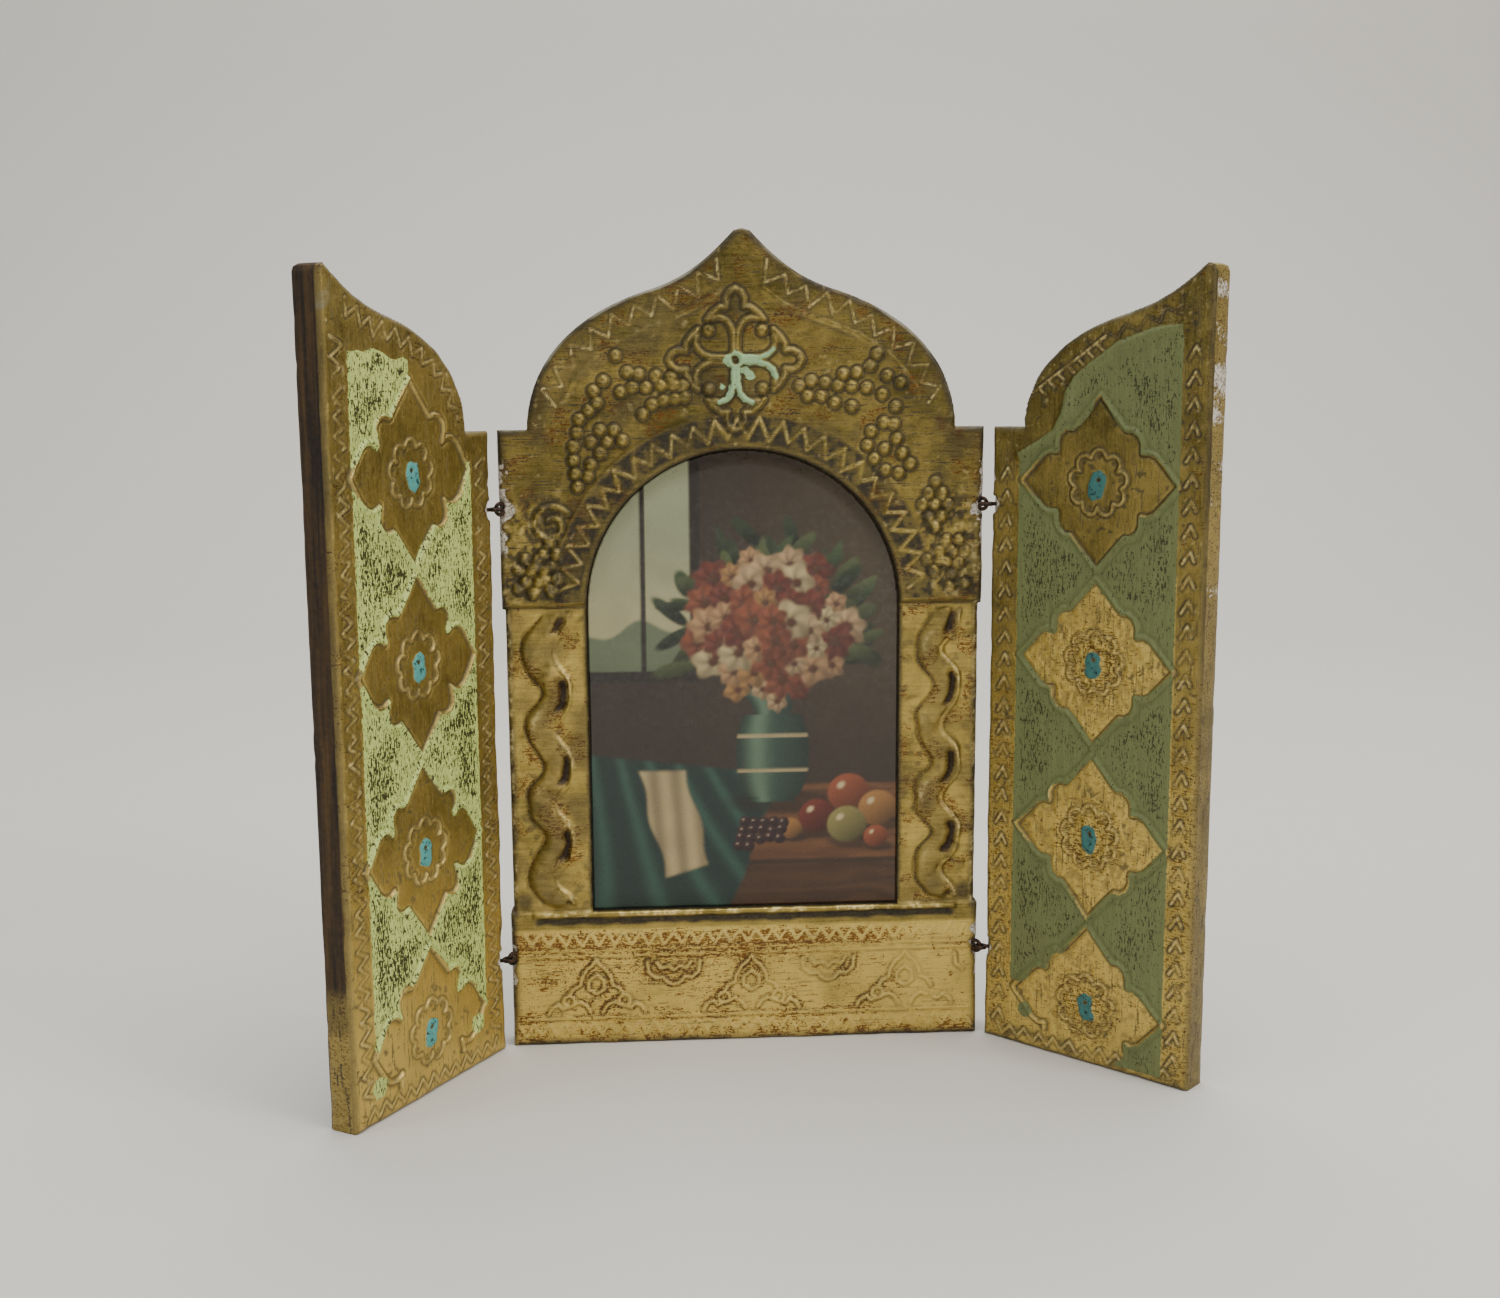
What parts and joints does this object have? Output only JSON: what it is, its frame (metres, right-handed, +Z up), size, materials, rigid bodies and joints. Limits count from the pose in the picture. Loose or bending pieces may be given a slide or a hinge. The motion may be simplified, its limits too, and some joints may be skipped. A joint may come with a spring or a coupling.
{
  "type": "triptych altarpiece",
  "caption": "Small folding gilt triptych with an ogee-topped centre, a framed picture in an arched recess, and hinged wings on wire eyes.",
  "frame": {"origin": "centre of the centre panel's underside, on the surface that the triptych stands on", "axes": "+Z up, +X to the viewer's right, the front faces -Y"},
  "size_m": [0.1602, 0.0454, 0.1592],
  "materials": {
    "gilt_gesso": "gesso over wood, gilded, rubbed and toned dark",
    "printed_card": "varnished print on card",
    "mint_and_gilt": "gilded gesso with worn mint green paint",
    "sage_and_gilt": "gilded gesso with worn sage green paint",
    "iron_wire": "dark bent wire"
  },
  "bodies": {
    "centre": {"centre_panel": "gilt_gesso", "picture": "printed_card", "left_upper_panel_eye": "iron_wire", "left_lower_panel_eye": "iron_wire", "right_upper_panel_eye": "iron_wire", "right_lower_panel_eye": "iron_wire"},
    "left_wing": {"left_wing": "mint_and_gilt", "left_upper_wing_eye": "iron_wire", "left_lower_wing_eye": "iron_wire"},
    "right_wing": {"right_wing": "sage_and_gilt", "right_upper_wing_eye": "iron_wire", "right_lower_wing_eye": "iron_wire"}
  },
  "joints": [
    {"name": "left_hinge", "type": "hinge", "parent": "centre", "child": "left_wing", "pos_m": [-0.047, -0.0039, 0.06], "axis": [0, 0, 1], "range_deg": [-63.6, 121.4]},
    {"name": "right_hinge", "type": "hinge", "parent": "centre", "child": "right_wing", "pos_m": [0.047, -0.0039, 0.06], "axis": [0, 0, -1], "range_deg": [-50.5, 134.5]}
  ]
}
